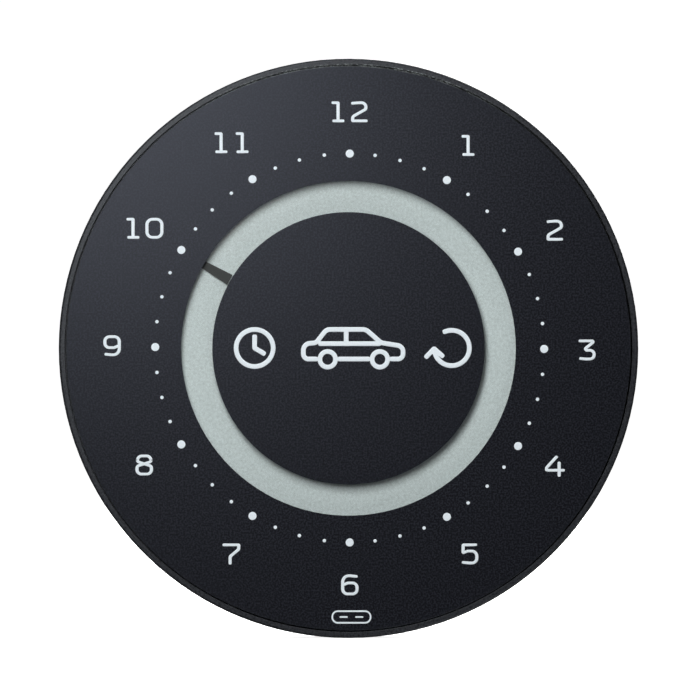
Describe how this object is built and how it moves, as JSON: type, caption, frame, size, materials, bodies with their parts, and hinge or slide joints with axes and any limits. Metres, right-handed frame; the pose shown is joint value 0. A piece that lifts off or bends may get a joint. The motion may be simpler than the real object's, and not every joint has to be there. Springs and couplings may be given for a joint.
{
  "type": "electronic parking disc",
  "caption": "Round in-car electronic parking clock with a printed 12-hour dial, a ring display with one pointer segment, rear set buttons and a quick-turn battery door.",
  "frame": {"origin": "centre of the dial's front face, which is held against the windscreen", "axes": "-Y looks out of the dial, +Z is 12 o'clock, +X is 3 o'clock, +Y runs back through the case"},
  "size_m": [0.1, 0.013, 0.1],
  "materials": {
    "case_plastic": "fine textured matte",
    "dial_foil": "matte printed foil",
    "dial_print": "matte white ink",
    "lens_plastic": "clear polished",
    "tape": "matte",
    "polarizer_film": "clear",
    "display_glass": "clear polished",
    "liquid_crystal": "matte",
    "edge_seal": "matte",
    "reflector_film": "grainy matte",
    "frame_plastic": "matte",
    "connector_rubber": "striped silicone",
    "board_laminate": "solder mask",
    "chip_plastic": "matte",
    "crystal_can": "satin",
    "ceramic_chip": "matte",
    "resistor_chip": "matte",
    "buzzer_plastic": "matte",
    "holder_plastic": "matte",
    "contact_metal": "satin nickel",
    "cell_metal": "satin nickel",
    "door_plastic": "fine textured matte",
    "seal_rubber": "satin",
    "button_plastic": "satin",
    "switch_plastic": "matte",
    "plunger_plastic": "matte",
    "screw_steel": "satin"
  },
  "bodies": {
    "case": {"front_housing": "case_plastic", "rear_cover": "case_plastic", "dial_ring": "dial_foil", "centre_disc": "dial_foil", "lens_plate": "lens_plastic", "lens_tape": "tape", "display_gasket": "tape", "lcd_front_polarizer": "polarizer_film", "lcd_front_glass": "display_glass", "lcd_edge_seal": "edge_seal", "lcd_pointer_segment": "liquid_crystal", "lcd_rear_glass": "display_glass", "lcd_reflector": "reflector_film", "display_frame": "frame_plastic", "display_connector": "connector_rubber", "main_board": "board_laminate", "microcontroller": "chip_plastic", "motion_sensor": "chip_plastic", "clock_crystal": "crystal_can", "capacitors": "ceramic_chip", "resistors": "resistor_chip", "buzzer": "buzzer_plastic", "battery_holder": "holder_plastic", "positive_contact": "contact_metal", "negative_contact": "contact_metal", "battery_cell": "cell_metal", "set_switch_body": "switch_plastic", "mode_switch_body": "switch_plastic", "case_screws": "screw_steel", "board_screws": "screw_steel"},
    "battery_door": {"battery_door": "door_plastic"},
    "door_seal": {"door_seal": "seal_rubber"},
    "set_button": {"set_button": "button_plastic", "set_switch_plunger": "plunger_plastic"},
    "mode_button": {"mode_button": "button_plastic", "mode_switch_plunger": "plunger_plastic"}
  },
  "joints": [
    {"name": "door_lift", "type": "slide", "parent": "case", "child": "door_seal", "axis": [0, 1, 0], "range_m": [0, 0.0026]},
    {"name": "door_turn", "type": "hinge", "parent": "door_seal", "child": "battery_door", "pos_m": [0, 0.0117, 0], "axis": [0, 1, 0], "range_deg": [0, 60]},
    {"name": "set_button_press", "type": "slide", "parent": "case", "child": "set_button", "axis": [0, -1, 0], "range_m": [0, 0.0003], "stiffness_N_per_m": 800, "springref_m": -0.001},
    {"name": "mode_button_press", "type": "slide", "parent": "case", "child": "mode_button", "axis": [0, -1, 0], "range_m": [0, 0.0003], "stiffness_N_per_m": 800, "springref_m": -0.001}
  ],
  "couplings": [
    {"joint": "door_lift", "follows": "door_turn", "m_per_rad": 0.0024828}
  ]
}
